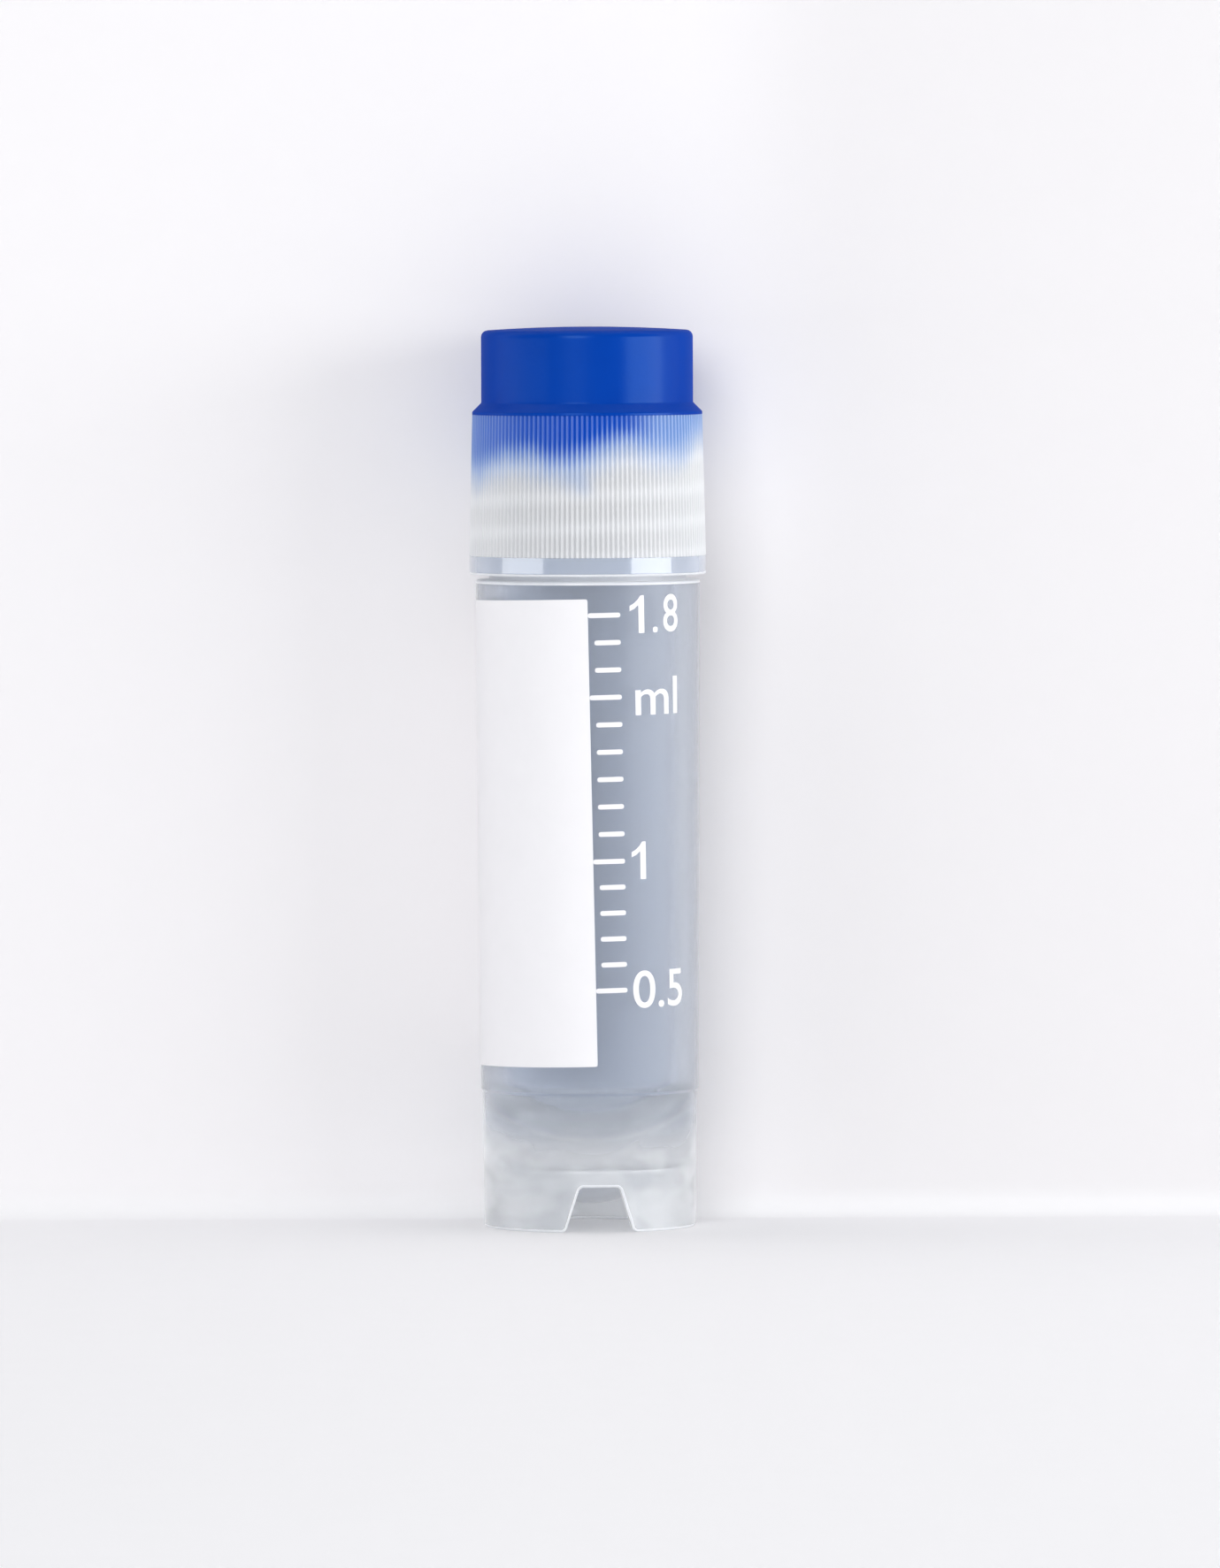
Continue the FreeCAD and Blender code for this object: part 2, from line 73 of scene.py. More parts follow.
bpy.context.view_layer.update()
TUBE_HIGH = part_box("vial_tube")[1]
SEAL_LOW, SEAL_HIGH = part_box("seal_ring")
SKIRT_LOW, SKIRT_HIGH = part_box("cap_skirt")
TOP_LOW, TOP_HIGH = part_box("cap_top")


# Settings


def mm(name, description, millimetres):
    """A distance, which the panel shows in the scene's unit."""
    metres = millimetres * MM
    return number(name, description, metres, precision=5, subtype="DISTANCE", unit="LENGTH")


def angle(name, description, degrees):
    return number(name, description, math.radians(degrees), subtype="ANGLE", unit="ROTATION")


def number(name, description, default, **more):
    return bpy.props.FloatProperty(name=name, description=description, default=default, **more)


def share(name, description, default):
    return number(name, description, default, min=0, max=1, subtype="FACTOR")


def count(name, description, default):
    return bpy.props.IntProperty(name=name, description=description, default=default, min=1)


def screen_to_linear(level):
    """A colour channel from 0 to 255, as a screen shows it, as Blender's linear value."""
    level = level / 255
    return level / 12.92 if level <= 0.04045 else ((level + 0.055) / 1.055) ** 2.4


def colour(name, description, red, green, blue):
    return bpy.props.FloatVectorProperty(
        name=name,
        description=description,
        default=[screen_to_linear(level) for level in (red, green, blue)],
        min=0,
        max=1,
        subtype="COLOR",
    )


class TubeSizes(bpy.types.PropertyGroup):
    """Sizes of the tube. Every height is over the base."""

    rim_height: mm("Rim height", "Top of the neck", TUBE_HIGH.z / MM)
    edge_round: mm("Edge rounding", "Rim and dome", 0.12)
    neck_radius: mm("Neck radius", "Neck between its threads", 5.24)
    shoulder_height: mm("Shoulder height", "Where the neck stands", 34.55)
    # Painted light: the pale edge finish over this height lightens the shade in the gap under
    # the skirt
    neck_foot: mm("Neck foot", "Pale part over the shoulder", 0.3)
    body_radius: mm("Body radius", "Body at the shoulder", 5.98)
    body_radius_low: mm("Lower body radius", "Body above the foot", 5.81)
    foot_height: mm("Foot height", "Top of the foot", 7.25)
    foot_step: mm("Foot step", "Slope over the foot", 0.15)
    foot_radius: mm("Foot radius", "Foot at its top", 5.71)
    foot_radius_low: mm("Base radius", "Foot at the base", 5.63)
    outer_round: mm("Outer rounding", "Shoulder, foot and notches", 0.15)
    strip_height: mm("Foot strip", "Notched part", 2.9)
    recess_radius_low: mm("Recess radius", "Inside of the foot's rim", 4.63)
    recess_radius: mm("Dome radius", "Foot's inside at the dome", 4.58)
    dome_height: mm("Dome height", "Lowest point outside", 1.2)
    dome_edge_height: mm("Dome edge height", "Outline of the dome", 3.335)
    bore_radius: mm("Bore radius", "Bore at the rim", 4.62)
    bore_radius_low: mm("Lower bore radius", "Bore at the bowl", 4.58)
    bowl_height: mm("Bowl height", "Lowest point inside", 4.6)
    bowl_edge_height: mm("Bowl edge height", "Outline of the bowl", 7.795)
    bowl_blend: mm("Bowl blend", "Straight part over the bowl's edge", 0.5)
    notch_count: count("Notches", "Notches round the foot", 3)
    notch_bearing: angle("Notch bearing", "First notch, from the front", 5.5)
    notch_height: mm("Notch height", "Height of a notch", 2.4)
    notch_top: mm("Notch top", "Width at its top", 2.1)
    notch_base: mm("Notch base", "Width at the base", 3.6)
    notch_top_round: mm("Notch top corner", "Upper corners", 0.25)
    notch_base_round: mm("Notch base corner", "Lower corners", 0.35)


class ThreadSizes(bpy.types.PropertyGroup):
    """Sizes of the neck's and the cap's thread."""

    pitch: mm("Pitch", "Rise in one turn", 1.7)
    sink: mm("Sink", "Depth of a ridge's root in its wall", 0.06)
    root_width: mm("Root width", "Ridge at its sunk root", 1.03)
    crest_width: mm("Crest width", "Ridge at its crest", 0.615)
    crest_round: mm("Crest rounding", "Edges of the crest", 0.08)
    neck_crest: mm("Neck crest", "Radius on the neck", 5.54)
    neck_start: mm("Neck start", "Where it starts", 35.95)
    neck_turns: number("Neck turns", "Turns on the neck", 2.5)
    cap_crest: mm("Cap crest", "Radius in the cap", 5.34)
    cap_start: mm("Cap start", "Where it starts", 36.8)
    cap_turns: number("Cap turns", "Turns in the cap", 1.75)


class CapSizes(bpy.types.PropertyGroup):
    """Sizes of the skirt, the blue top and the washer."""

    skirt_low: mm("Skirt low", "Lower rim", SKIRT_LOW.z / MM)
    skirt_high: mm("Skirt high", "Upper rim", SKIRT_HIGH.z / MM)
    band_radius: mm("Band radius", "Smooth band", 6.31)
    band_top: mm("Band top", "Where the ribs start", 35.81)
    edge_round: mm("Edge rounding", "Band and washer", 0.12)
    inner_radius: mm("Inner radius", "Inside of the skirt", 5.64)
    lead: mm("Lead", "Chamfer inside the lower rim", 0.15)
    top_radius: mm("Top radius", "Skirt's top and the shoulder", 6.13)
    rib_count: count("Ribs", "Ribs round the skirt", 144)
    rib_depth: mm("Rib depth", "Depth of the grooves", 0.09)
    plug_low: mm("Plug low", "Tip of the plug", TOP_LOW.z / MM)
    plug_radius: mm("Plug radius", "Outside of the plug", 4.57)
    plug_lead: mm("Plug lead", "Chamfer at the tip", 0.25)
    hollow_radius: mm("Hollow radius", "Inside of the plug", 3.47)
    hollow_radius_top: mm("Upper hollow radius", "At its roof", 3.37)
    roof_height: mm("Roof height", "Roof of the hollow", 46.8)
    flange_top: mm("Flange top", "Upright edge of the shoulder", 43.48)
    slope_round: mm("Slope rounding", "Ends of the slope", 0.1)
    head_low: mm("Head low", "Where the head's wall starts", 43.965)
    head_radius: mm("Head radius", "Head of the blue top", 5.645)
    head_edge: mm("Head edge", "Upper edge of the head", 47.8)
    head_round: mm("Head rounding", "Upper edge", 0.35)
    head_high: mm("Head high", "Highest point", TOP_HIGH.z / MM)
    seal_low: mm("Washer low", "Underside of the washer", SEAL_LOW.z / MM)
    seal_high: mm("Washer high", "Top of the washer, under the inlay", SEAL_HIGH.z / MM)
    seal_inner: mm("Washer hole", "Radius of the hole", 4.61)
    seal_outer: mm("Washer edge", "Radius of the edge", 5.17)


class PrintSizes(bpy.types.PropertyGroup):
    """Sizes of the white print, which is laid out flat and then rolled on."""

    tilt: angle("Tilt", "How far the print leans", 1.05)
    lift: mm("Lift", "Gap under the ink", 0.006)
    ink: mm("Ink", "Thickness of the ink", 0.014)
    edge: mm("Edge", "Patch's right edge", 0.21)
    low: mm("Low", "Patch's lower edge", 8.84)
    high: mm("High", "Patch's upper edge", 33.63)
    width: mm("Width", "Width of the patch", 15.6)
    corner: mm("Corner", "Corners of the patch", 0.12)
    mark_height: mm("Mark height", "Thickness of a mark", 0.26)
    mark_end: mm("Mark end", "Right end of every mark", 1.72)
    short_start: mm("Short mark", "Left end of a short mark", 0.31)
    highest: mm("Highest", "Height of the 1.8 mark", 32.76)
    middle: mm("Middle", "Height of the 1 mark", 19.71)
    lowest: mm("Lowest", "Height of the 0.5 mark", 12.86)
    numeral_height: mm("Numerals", "Height of the numerals", 2.0)


class Finishes(bpy.types.PropertyGroup):
    """Colours and surface values of the materials."""

    clear: colour("Clear plastic", "Tint of the tube's plastic", 224, 231, 242)
    milky: colour("Milky plastic", "Where the plastic is thick", 246, 248, 250)
    skirt: colour("Skirt plastic", "Natural part of the skirt", 246, 247, 248)
    band: colour("Band plastic", "Smooth band of the skirt", 222, 232, 248)
    stain: colour("Blue stain", "Upper part of the skirt", 0, 84, 202)
    stain_pale: colour("Pale stain", "Where the blue runs out", 140, 177, 229)
    # Painted highlight on the rib crests in the stain
    stain_crest_highlight: colour("Stained crest", "Rib crests in the stain", 200, 216, 246)
    blue: colour("Blue plastic", "The blue top", 0, 64, 171)
    blue_deep: colour("Deep blue", "Darker flecks in the blue top", 0, 58, 161)
    silicone: colour("Silicone", "The washer", 232, 236, 238)
    ink: colour("Ink", "The white print", 248, 247, 249)
    blue_sheen: colour("Blue sheen", "Tint of the blue top's gloss", 150, 210, 255)
    # Painted highlight colour of rounded edges
    edge: colour("Pale edge", "Rounded edges", 252, 253, 255)
    clearness: share("Clearness", "Share of light that goes through", 0.88)
    frost: share("Frost", "Roughness of the tube", 0.2)
    stain_height: mm("Stain height", "Where the blue runs out", 41.45)


class StudioSettings(bpy.types.PropertyGroup):
    """The camera, the lights and the pale surroundings."""

    distance: mm("Distance", "Camera to the vial's axis", 740)
    elevation: angle("Elevation", "Camera over the horizon", 2.4)
    roll: angle("Roll", "Lean of the camera", -0.22)
    aside: mm("Aside", "View's middle, right of the axis", 1.14)
    aim: mm("Aim", "Height of the view's middle", 23.6)
    lens: number("Lens", "Focal length in millimetres", 318.4)
    wall_gap: mm("Wall gap", "Axis to the backdrop", 6.6)
    pale: colour("Pale", "What the camera sees around the vial", 241, 239, 244)
    wall: colour("Backdrop", "Backdrop's paper", 248, 246, 247)
    floor: colour("Floor", "Floor's paper", 255, 254, 255)
    cove: mm("Cove", "Rounding between floor and backdrop", 2)
    key: number("Key light", "Power in watts", 1.6)
    left: number("Left light", "Power in watts", 0.066)
    right: number("Right light", "Power in watts", 0.5)
    top: number("Top light", "Power in watts", 0.14)
    ambient: number("Ambient", "Strength of the surroundings", 0.4)


# Modelling by hand


def begin(name, finishes=()):
    """Starts a piece at the origin and leaves it open for editing."""
    bpy.ops.object.select_all(action="DESELECT")
    bpy.ops.object.add(type="MESH", enter_editmode=True, location=(0, 0, 0))
    bpy.ops.mesh.select_mode(type="VERT")
    piece = bpy.context.object
    piece.name = name
    for finish in finishes:
        piece.data.materials.append(finish)
    return piece


def close(piece):
    bpy.ops.object.mode_set(mode="OBJECT")
    return piece


def reopen():
    """Opens the active piece for editing, with all of it selected."""
    bpy.ops.object.mode_set(mode="EDIT")
    pick_all()


def select(piece, others=()):
    """Selects pieces and makes the first one active."""
    bpy.ops.object.select_all(action="DESELECT")
    for each in (piece, *others):
        each.select_set(True)
    bpy.context.view_layer.objects.active = piece


def modify(piece, kind, **settings):
    """Gives the active piece a modifier with these settings, and applies it."""
    bpy.ops.object.modifier_add(type=kind)
    modifier = piece.modifiers[-1]
    for name, setting in settings.items():
        setattr(modifier, name, setting)
    bpy.ops.object.modifier_apply(modifier=modifier.name)


def pick(wanted, kind="VERT"):
    """Selects just the points, edges or faces that a test wants."""
    bpy.ops.mesh.select_mode(type=kind)
    bpy.ops.mesh.select_all(action="DESELECT")
    data = bpy.context.edit_object.data
    mesh = bmesh.from_edit_mesh(data)
    parts = {"VERT": mesh.verts, "EDGE": mesh.edges, "FACE": mesh.faces}[kind]
    for part in parts:
        if wanted(part):
            part.select_set(True)
    bmesh.update_edit_mesh(data)


def pick_all():
    bpy.ops.mesh.select_mode(type="VERT")
    bpy.ops.mesh.select_all(action="SELECT")


def at(across, height):
    """A test for a point in the plane of X and Z."""
    return lambda point: abs(point.co.x - across) < NEAR and abs(point.co.z - height) < NEAR


def weld():
    """Joins points that lie on each other and turns every face outwards."""
    pick_all()
    bpy.ops.mesh.remove_doubles(threshold=WELD)
    bpy.ops.mesh.normals_make_consistent(inside=False)


def sweep_arc(start, stop):
    """Draws an arc from the last point of a wire, about a centre on the axis."""
    rise = (start[0] ** 2 + start[1] ** 2 - stop[0] ** 2 - stop[1] ** 2) / 2
    centre = rise / (start[1] - stop[1])
    first = math.atan2(start[1] - centre, start[0])
    last = math.atan2(stop[1] - centre, stop[0])
    bpy.ops.mesh.spin(
        steps=max(4, math.ceil(abs(last - first) / ARC_STEP)),
        angle=last - first,
        center=(0, 0, centre),
        axis=(0, 1, 0),
    )


def round_corner(before, corner, after):
    """Rounds one corner of a wire or outline in the plane of X and Z."""
    here = Vector(corner[:2])
    turn = math.pi - (Vector(before[:2]) - here).angle(Vector(after[:2]) - here)
    offset = corner[2] * math.tan(turn / 2)
    pick(at(*here))
    bpy.ops.mesh.bevel(offset_type="OFFSET", offset=offset, segments=4, affect="VERTICES")


def draw(corners, closed=False):
    """Draws a wire in the plane of X and Z through corners.

    A corner is (across, height) or (across, height, rounding). None between two
    corners makes what joins them an arc about the axis.
    """
    pick(lambda point: False)
    first = corners[0]
    bpy.ops.mesh.primitive_plane_add(size=MM, location=(first[0], 0, first[1]))
    bpy.ops.mesh.merge(type="CENTER")
    here = first
    for before, corner in zip(corners, corners[1:]):
        if corner is None:
            continue
        if before is None:
            sweep_arc(here, corner)
        else:
            step = (corner[0] - here[0], 0, corner[1] - here[1])
            bpy.ops.mesh.extrude_vertices_move(TRANSFORM_OT_translate={"value": step})
        here = corner
    if closed:
        pick(lambda point: at(*first[:2])(point) or at(*here[:2])(point))
        bpy.ops.mesh.edge_face_add()
    places = [corner for corner in corners if corner]
    for index, corner in enumerate(places):
        if len(corner) == 3:
            round_corner(places[index - 1], corner, places[(index + 1) % len(places)])
    pick_all()


def hold_edges(corners):
    """Adds a point on each side of a rounded corner, so that walls shade straight."""
    held = []
    for index, corner in enumerate(corners):
        if corner is None or len(corner) == 2:
            held.append(corner)
            continue
        here = Vector(corner[:2])
        beside = []
        for neighbour in (corners[index - 1], corners[(index + 1) % len(corners)]):
            way = Vector(neighbour[:2]) - here if neighbour else Vector((0, 0))
            reach = corner[2] + HOLD
            point = tuple(here + way.normalized() * reach)
            beside.append([point] if way.length > 3 * reach else [])
        held += [*beside[0], corner, *beside[1]]
    return held


def turn_round(turn=math.tau, steps=COLUMNS, apart=False):
    """Turns what is open for editing about the axis, or makes separate copies round it."""
    pick_all()
    bpy.ops.mesh.spin(steps=steps, dupli=apart, angle=turn, center=(0, 0, 0), axis=(0, 0, 1))


def rotate(turn, axis, centre):
    """Rotates the selection by the right-hand rule, which needs a minus here."""
    bpy.ops.transform.rotate(value=-turn, orient_axis=axis, center_override=centre)


def slice_upright(places):
    """Cuts the whole mesh at each of these places along X."""
    for place in places:
        pick_all()
        bpy.ops.mesh.bisect(plane_co=(place, 0, 0), plane_no=(1, 0, 0), threshold=WELD)


def roll_up(piece, radius):
    """Rolls a flat piece, which faces -Y, round the axis at this radius."""
    across = [point.co.x for point in piece.data.vertices]
    turn = (max(across) - min(across)) / radius
    modify(piece, "SIMPLE_DEFORM", deform_method="BEND", deform_axis="Z", angle=turn)
    reopen()
    bpy.ops.transform.translate(value=(0, -radius, 0))
    close(piece)


def join(piece, others):
    """Joins other pieces into one."""
    select(piece, others)
    bpy.ops.object.join()
    return piece


def unite(piece, other):
    """Makes a ridge one solid with the wall that it stands on."""
    select(piece)
    modify(piece, "BOOLEAN", operation="UNION", solver="EXACT", object=other)
    select(other)
    bpy.ops.object.delete()


def finish_piece(piece, body, node=None):
    """Shades a piece smooth and hangs it on its body."""
    select(piece)
    bpy.ops.object.shade_smooth_by_angle(angle=SMOOTH)
    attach(piece, body)
    if node:
        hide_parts(node)


# Pieces


def thread_ridge(root, crest, start, turns, size, finishes):
    """A right-hand ridge with closed ends, between two radii, from this height up."""
    steps = round(turns * COLUMNS / 2)
    half_root = size.root_width / 2
    half_crest = size.crest_width / 2
    outline = (
        (root, start - half_root),
        (crest, start - half_crest, size.crest_round),
        (crest, start + half_crest, size.crest_round),
        (root, start + half_root),
    )
    ridge = begin("thread ridge", finishes)
    draw(outline, closed=True)
    close(ridge)
    turn = {"axis": "Z", "angle": turns * math.tau, "screw_offset": turns * size.pitch}
    modify(ridge, "SCREW", **turn, steps=steps, render_steps=steps)
    reopen()
    bpy.ops.mesh.fill_holes(sides=0)
    weld()
    return close(ridge)


def notch_bearings(size):
    """The notches' bearings from the front, from the leftmost round to the right."""
    every = math.tau / size.notch_count
    bearings = [size.notch_bearing + index * every for index in range(size.notch_count)]
    return sorted((bearing + math.pi) % math.tau - math.pi for bearing in bearings)


def foot_strip(size, finishes):
    """The notched foot, cut from a flat strip and then rolled up."""
    radius = size.foot_radius_low
    wall = radius - size.recess_radius_low
    top = size.strip_height
    half_turn = math.pi * radius
    half_base = radius * math.asin(size.notch_base / 2 / radius)
    half_top = radius * math.asin(size.notch_top / 2 / radius)
    middles = [bearing * radius for bearing in notch_bearings(size)]
    corners = [(-half_turn, top), (-half_turn, 0)]
    for middle in middles:
        corners += [
            (middle - half_base, 0, size.notch_base_round),
            (middle - half_top, size.notch_height, size.notch_top_round),
            (middle + half_top, size.notch_height, size.notch_top_round),
            (middle + half_base, 0, size.notch_base_round),
        ]
    corners += [(half_turn, 0), (half_turn, top)]
    strip = begin("foot strip", finishes)
    draw(corners, closed=True)
    bpy.ops.mesh.edge_face_add()
    bpy.ops.mesh.extrude_region_move(TRANSFORM_OT_translate={"value": (0, wall, 0)})
    slant_walls(size, wall)
    widen_inside(size, middles, wall)
    round_outline(size, half_turn, wall)
    open_ends(half_turn, top)
    column = math.tau / COLUMNS * radius
    slice_upright([index * column - half_turn for index in range(1, COLUMNS)])
    close(strip)
    roll_up(strip, radius)
    return strip


def foot_lean(size):
    """How far the foot leans outwards outside and inwards inside, over its strip."""
    top = size.strip_height
    outward = (size.foot_radius - size.foot_radius_low) * top / size.foot_height
    inward = (size.recess_radius_low - size.recess_radius) * top / size.dome_edge_height
    return outward, inward


def slant_walls(size, wall):
    """Leans the strip's outside and inside to the foot's draft."""
    outward, inward = foot_lean(size)
    pick(lambda point: point.co.y < wall / 2)
    rotate(math.atan2(outward, size.strip_height), "X", (0, 0, 0))
    pick(lambda point: point.co.y > wall / 2)
    rotate(-math.atan2(inward, size.strip_height), "X", (0, wall, 0))


def widen_inside(size, middles, wall):
    """Widens the notches inside, so that their sides are parallel once rolled up."""
    half = size.notch_base / 2
    inner = math.asin(half / size.recess_radius_low)
    wider = inner / math.asin(half / size.foot_radius_low)
    reach = half + 2 * size.notch_base_round
    high = size.notch_height + NEAR
    for middle in middles:

        def in_notch(point):
            place = point.co
            return place.y > wall / 2 and abs(place.x - middle) < reach and place.z < high

        pick(in_notch)
        bpy.ops.transform.resize(value=(wider, 1, 1), center_override=(middle, wall, 0))


def round_outline(size, half_turn, wall):
    """Rounds the outlines of the notches and of the rim, outside and inside."""

    def is_outline(edge):
        one, other = edge.verts
        on_one_side = (one.co.y < wall / 2) == (other.co.y < wall / 2)
        low = max(one.co.z, other.co.z) < size.notch_height + NEAR
        upright_end = min(abs(one.co.x), abs(other.co.x)) > half_turn - NEAR
        return on_one_side and low and not upright_end

    pick(is_outline, "EDGE")
    # The bevels take the second finish, a painted highlight along the rounded outline
    bpy.ops.mesh.bevel(offset=size.outer_round, segments=3, affect="EDGES", material=1)


def open_ends(half_turn, top):
    """Takes away the strip's top and its two ends, which other parts close."""

    def is_open(face):
        points = [point.co for point in face.verts]
        on_top = all(abs(point.z - top) < LEANT for point in points)
        at_end = all(abs(abs(point.x) - half_turn) < NEAR for point in points)
        return on_top or (at_end and abs(face.normal.x) > 0.9)

    pick(is_open, "FACE")
    bpy.ops.mesh.delete(type="FACE")


def tube_wall(size, finishes):
    """Everything over the foot: outside, neck, bore and bowl, and the dome below."""
    outward, inward = foot_lean(size)
    step_round = 0.06 * MM
    wall = begin("vial-tube", finishes)
    outline = (
        (size.foot_radius_low + outward, size.strip_height),
        (size.foot_radius, size.foot_height, step_round),
        (size.body_radius_low, size.foot_height + size.foot_step, step_round),
        (size.body_radius, size.shoulder_height, size.outer_round),
        (size.neck_radius, size.shoulder_height),
        (size.neck_radius, size.shoulder_height + size.neck_foot),
        (size.neck_radius, size.rim_height, size.edge_round),
        (size.bore_radius, size.rim_height, size.edge_round),
        (size.bore_radius_low, size.bowl_edge_height + size.bowl_blend),
        (size.bore_radius_low, size.bowl_edge_height),
        None,
        (0, size.bowl_height),
    )
    dome = (
        (size.recess_radius_low - inward, size.strip_height),
        (size.recess_radius, size.dome_edge_height, size.edge_round),
        None,
        (0, size.dome_height),
    )
    draw(hold_edges(outline))
    draw(dome)
    turn_round()
    # Painted highlights: the dome's outline ring, and the neck's foot over the shoulder in the
    # shade of the gap under the skirt, get the pale edge finish
    past_rounding = size.edge_round * 2.2
    paint_edge_highlight(wall, size.recess_radius, size.dome_edge_height, (past_rounding, past_rounding))
    middle = (size.neck_radius + size.body_radius) / 2
    half = (size.body_radius - size.neck_radius) / 2 + NEAR
    paint_edge_highlight(wall, middle, size.shoulder_height, (half, size.neck_foot))
    return close(wall)


def paint_edge_highlight(piece, radius, height, reach):
    """Gives the painted edge-highlight finish to faces within reach of a radius and a height.
    """

    def is_near(face):
        middle = face.calc_center_median()
        off = abs(math.hypot(middle.x, middle.y) - radius)
        return off < reach[0] and abs(middle.z - height) < reach[1]

    pick(is_near, "FACE")
    piece.active_material_index = 1
    bpy.ops.object.material_slot_assign()


def skirt_shell(size, finishes):
    """The skirt without its thread, from one rib that is copied round the axis."""
    shelf = 0.01 * MM
    rim = 0.3 * MM
    outline = (
        (size.band_radius - rim, size.skirt_low),
        (size.band_radius, size.skirt_low, size.edge_round),
        (size.band_radius, size.band_top - shelf),
        (size.band_radius - shelf, size.band_top),
        (size.top_radius, size.skirt_high),
        (size.inner_radius, size.skirt_high),
        (size.inner_radius, size.skirt_low + size.lead),
        (size.inner_radius + size.lead, size.skirt_low),
    )
    shell = begin("cap-skirt", finishes)
    draw(hold_edges(outline), closed=True)
    rib = math.tau / size.rib_count
    turn_round(rib, RIB_COLUMNS)
    # Painted highlight along the band's rounded lower rim
    paint_edge_highlight(shell, size.band_radius, size.skirt_low, (0.15 * MM, 0.1 * MM))
    cut_groove(size, rib)
    copies = size.rib_count - 1
    turn_round(copies * rib, copies, apart=True)
    weld()
    return close(shell)


def cut_groove(size, rib):
    """Presses the middle columns of a rib's outside in to a rounded groove."""
    for column, depth in ((2, 0.5), (3, 1), (4, 0.5)):
        bearing = rib * column / RIB_COLUMNS

        def in_column(point):
            turned = abs(math.atan2(point.co.y, point.co.x))
            outside = math.hypot(point.co.x, point.co.y) > size.top_radius - NEAR
            ribbed = point.co.z > size.band_top - NEAR / 2
            return abs(turned - bearing) < rib / 20 and outside and ribbed

        pick(in_column)
        kept = 1 - depth * size.rib_depth / size.band_radius
        bpy.ops.transform.resize(value=(kept, kept, 1), center_override=(0, 0, 0))


# Materials


class Value:
    """An output socket that Python's operators can work on."""

    def __init__(self, finish, socket):
        self.finish = finish
        self.socket = socket

    def maths(self, operation, *others):
        return self.finish.maths(operation, self, *others)

    def wave(self):
        """From 1 to 0 and back as an angle makes one turn."""
        return self.maths("COSINE") * 0.5 + 0.5

    def __add__(self, other):
        return self.maths("ADD", other)

    def __sub__(self, other):
        return self.maths("SUBTRACT", other)

    def __rsub__(self, other):
        return self.finish.maths("SUBTRACT", other, self)

    def __mul__(self, other):
        return self.maths("MULTIPLY", other)

    def __pow__(self, other):
        return self.maths("POWER", other)

    __radd__ = __add__
    __rmul__ = __mul__


class Finish:
    """A material or a world, and the nodes that make it."""

    def __init__(self, name, home="materials"):
        self.block = getattr(bpy.data, home).new(name)
        self.block.use_nodes = True
        self.tree = self.block.node_tree
        self.tree.nodes.clear()

    def node(self, kind, settings=None, inputs=None, output=0):
        """Adds a node with its settings and inputs, and gives its output, if any."""
        node = self.tree.nodes.new(kind)
        for name, setting in (settings or {}).items():
            setattr(node, name, setting)
        for name, value in (inputs or {}).items():
            if isinstance(value, Value):
                self.tree.links.new(value.socket, node.inputs[name])
            else:
                node.inputs[name].default_value = value
        return Value(self, node.outputs[output]) if node.outputs else None

    def maths(self, operation, *values):
        inputs = dict(enumerate(values))
        return self.node("ShaderNodeMath", {"operation": operation}, inputs)

    def place(self):
        """The place on the piece, in metres."""
        return self.node("ShaderNodeTexCoord", output="Object")

    def along(self, axis):
        """The place along one axis, in metres."""
        return self.node("ShaderNodeSeparateXYZ", inputs={0: self.place()}, output=axis)

    def bearing(self):
        """The angle about the vial's axis, from 0 at the front, growing to the right."""
        return self.along("X").maths("ARCTAN2", self.along("Y") * -1)

    def noise(self, scale, detail=2, stretch=(1, 1, 1)):
        """Smooth noise from 0 to 1 with this many blobs to a metre."""
        settings = {"operation": "MULTIPLY"}
        place = self.node("ShaderNodeVectorMath", settings, {0: self.place(), 1: stretch})
        inputs = {"Vector": place, "Scale": scale, "Detail": detail}
        return self.node("ShaderNodeTexNoise", inputs=inputs)

    def fade(self, value, start, stop):
        """From 0 where the value is start to 1 where it is stop, smoothly."""
        settings = {"interpolation_type": "SMOOTHERSTEP"}
        inputs = {"Value": value, "From Min": start, "From Max": stop}
        return self.node("ShaderNodeMapRange", settings, inputs)

    def mix(self, factor, one, other):
        """Blends two colours, or links that carry one."""
        inputs = {0: factor, 6: opaque(one), 7: opaque(other)}
        return self.node("ShaderNodeMix", {"data_type": "RGBA"}, inputs, output=2)

    def shade(self, tint, brightness):
        """A colour made darker."""
        inputs = {0: tint, "Scale": brightness}
        return self.node("ShaderNodeVectorMath", {"operation": "SCALE"}, inputs)

    def bump(self, height, distance, strength):
        inputs = {"Height": height, "Distance": distance, "Strength": strength}
        return self.node("ShaderNodeBump", inputs=inputs)

    def plastic(self, tint, roughness, constants, bump=None):
        """The main shader. What is the same all over the piece is in constants."""
        inputs = {"Base Color": tint, "Roughness": roughness, "IOR": IOR, **constants}
        if bump:
            inputs["Normal"] = bump
        return self.node("ShaderNodeBsdfPrincipled", inputs=inputs)

    def blend(self, factor, one, other):
        """Mixes two shaders."""
        return self.node("ShaderNodeMixShader", inputs={0: factor, 1: one, 2: other})

    def lit_through(self, shader, part):
        """Lets this part of the lamps' light through a shader."""
        shadow = self.node("ShaderNodeLightPath", output="Is Shadow Ray")
        return self.blend(shadow * part, shader, self.node("ShaderNodeBsdfTransparent"))

    def surface(self, shader):
        self.node("ShaderNodeOutputMaterial", inputs={"Surface": shader})
        return self.block


def opaque(value):
    """A colour of three channels gets its fourth. A link stays as it is."""
    return value if isinstance(value, Value) else (*value, 1)


def darker(tint, kept):
    return tuple(kept * channel for channel in tint)


